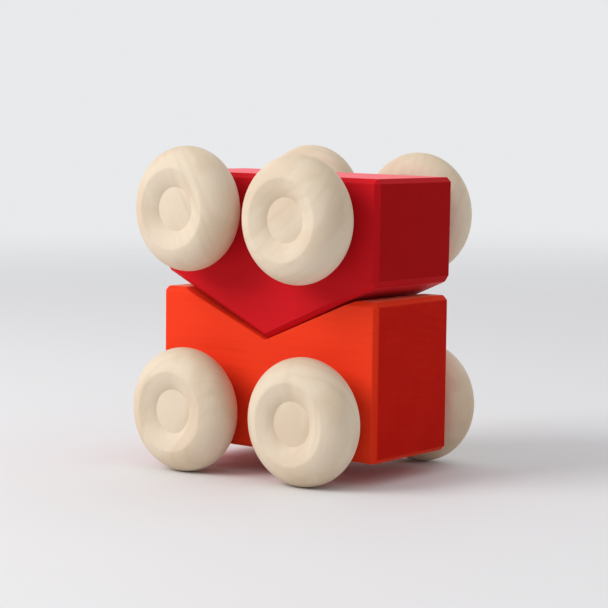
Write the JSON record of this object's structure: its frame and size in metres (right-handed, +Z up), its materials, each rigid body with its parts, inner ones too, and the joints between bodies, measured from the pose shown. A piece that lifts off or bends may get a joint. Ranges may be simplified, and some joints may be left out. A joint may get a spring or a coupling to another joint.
{
  "type": "stacking wooden toy cars",
  "caption": "Two wooden block cars on turned wheels: a notched block, and a gabled block set upside down in the notch.",
  "frame": {"origin": "on the floor, below the middle of the stack", "axes": "+Z up, +X to the cars' front ends, Y along the axles"},
  "size_m": [0.0902, 0.0796, 0.1045],
  "materials": {
    "orange_stain": "orange-red water stain under a thin satin lacquer, faint straight grain",
    "crimson_stain": "crimson water stain under a thin satin lacquer, faint straight grain",
    "bare_maple": "turned and finely sanded pale maple, oiled, faint grain"
  },
  "bodies": {
    "orange_car": {"orange_block": "orange_stain"},
    "orange_front_wheels": {"orange_front_axle": "bare_maple", "orange_front_left_wheel": "bare_maple", "orange_front_right_wheel": "bare_maple"},
    "orange_rear_wheels": {"orange_rear_axle": "bare_maple", "orange_rear_left_wheel": "bare_maple", "orange_rear_right_wheel": "bare_maple"},
    "crimson_car": {"crimson_block": "crimson_stain"},
    "crimson_front_wheels": {"crimson_front_axle": "bare_maple", "crimson_front_left_wheel": "bare_maple", "crimson_front_right_wheel": "bare_maple"},
    "crimson_rear_wheels": {"crimson_rear_axle": "bare_maple", "crimson_rear_left_wheel": "bare_maple", "crimson_rear_right_wheel": "bare_maple"}
  },
  "joints": [
    {"name": "orange_front_roll", "type": "hinge", "parent": "orange_car", "child": "orange_front_wheels", "pos_m": [0.024, -0.0006, 0.02], "axis": [0, 1, 0], "continuous": true},
    {"name": "orange_rear_roll", "type": "hinge", "parent": "orange_car", "child": "orange_rear_wheels", "pos_m": [-0.0246, -0.0006, 0.02], "axis": [0, 1, 0], "continuous": true},
    {"name": "crimson_lift_off", "type": "slide", "parent": "orange_car", "child": "crimson_car", "axis": [0, 0, 1], "range_m": [0, 0.06]},
    {"name": "crimson_front_roll", "type": "hinge", "parent": "crimson_car", "child": "crimson_front_wheels", "pos_m": [0.02235, -0.00043, 0.08193], "axis": [0.0186, 0.9998, 0], "continuous": true},
    {"name": "crimson_rear_roll", "type": "hinge", "parent": "crimson_car", "child": "crimson_rear_wheels", "pos_m": [-0.02298, 0.00042, 0.08455], "axis": [0.0186, 0.9998, 0], "continuous": true}
  ]
}
